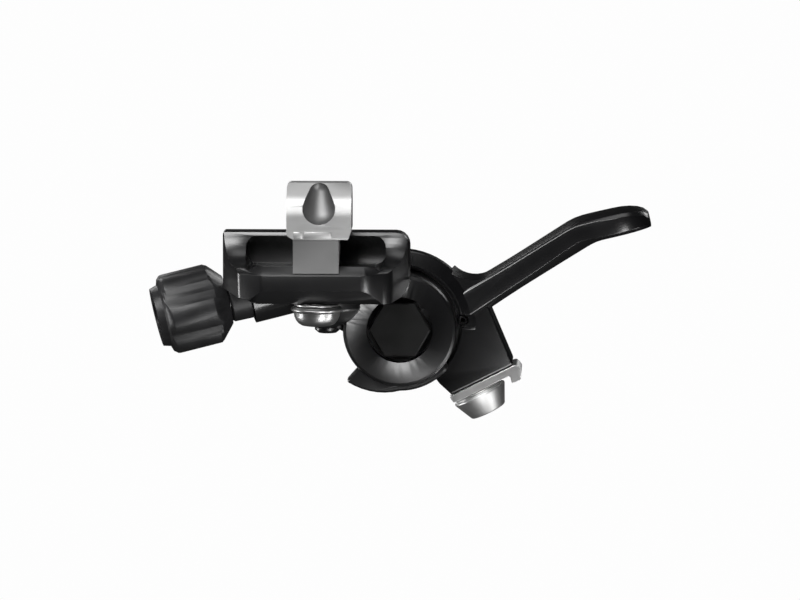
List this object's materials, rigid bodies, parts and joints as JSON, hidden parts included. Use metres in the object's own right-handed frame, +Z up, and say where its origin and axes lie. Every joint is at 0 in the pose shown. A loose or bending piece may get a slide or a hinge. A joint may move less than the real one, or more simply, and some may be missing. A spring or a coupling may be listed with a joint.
{
  "type": "dropper post remote lever",
  "caption": "Handlebar remote for a dropper seatpost: thumb lever on a pivot, slotted clamp saddle with a hook bracket, cable clamp and lobed barrel adjuster.",
  "frame": {"origin": "middle of the saddle wall's front face, halfway along the slot", "axes": "+X along the saddle towards the lever, +Y from the saddle to the back along the pivot, +Z up from the ledge to the hook"},
  "size_m": [0.0831, 0.0312, 0.0419],
  "materials": {
    "cast_black": "satin black over cast metal",
    "lever_black": "smooth satin black",
    "satin_steel": "satin",
    "bright_steel": "bright turned",
    "black_steel": "blackened",
    "knob_plastic": "fine matt grain",
    "bronze": "plain",
    "washer_plastic": "plain",
    "spring_steel": "drawn wire"
  },
  "bodies": {
    "base": {"base_body": "cast_black", "pivot_axle": "black_steel", "thrust_washer_front": "washer_plastic", "thrust_washer_rear": "washer_plastic", "axle_washer": "bright_steel", "axle_nut": "black_steel", "return_spring": "spring_steel"},
    "lever": {"lever": "lever_black", "bush_front": "bronze", "bush_rear": "bronze", "spring_pin": "spring_steel", "pinch_washer": "bright_steel", "pinch_bolt": "bright_steel"},
    "clamp": {"clamp_bracket": "satin_steel", "clamp_bolt": "bright_steel", "clamp_washer": "bright_steel"},
    "collar": {"adjuster_collar": "knob_plastic", "adjuster_spring": "spring_steel"},
    "adjuster": {"adjuster_knob": "knob_plastic", "adjuster_barrel": "bright_steel"}
  },
  "joints": [
    {"name": "lever_pivot", "type": "hinge", "parent": "base", "child": "lever", "pos_m": [0.01366, 0.0116, -0.0132], "axis": [0, 1, 0], "range_deg": [0, 35], "stiffness_Nm_per_rad": 0.1, "springref_deg": -34.38, "deforming": ["return_spring"]},
    {"name": "clamp_slide", "type": "slide", "parent": "base", "child": "clamp", "axis": [1, 0, 0], "range_m": [-0.0072, 0.0072]},
    {"name": "adjuster_travel", "type": "slide", "parent": "base", "child": "collar", "axis": [-0.9615, -0.149, -0.2308], "range_m": [0, 0.003], "deforming": ["adjuster_spring"]},
    {"name": "adjuster_turn", "type": "hinge", "parent": "collar", "child": "adjuster", "pos_m": [-0.0267, 0.0058, -0.0118], "axis": [-0.9615, -0.149, -0.2308], "range_deg": [0, 1080]}
  ],
  "couplings": [
    {"joint": "adjuster_turn", "follows": "adjuster_travel", "rad_per_m": 6283.2}
  ]
}
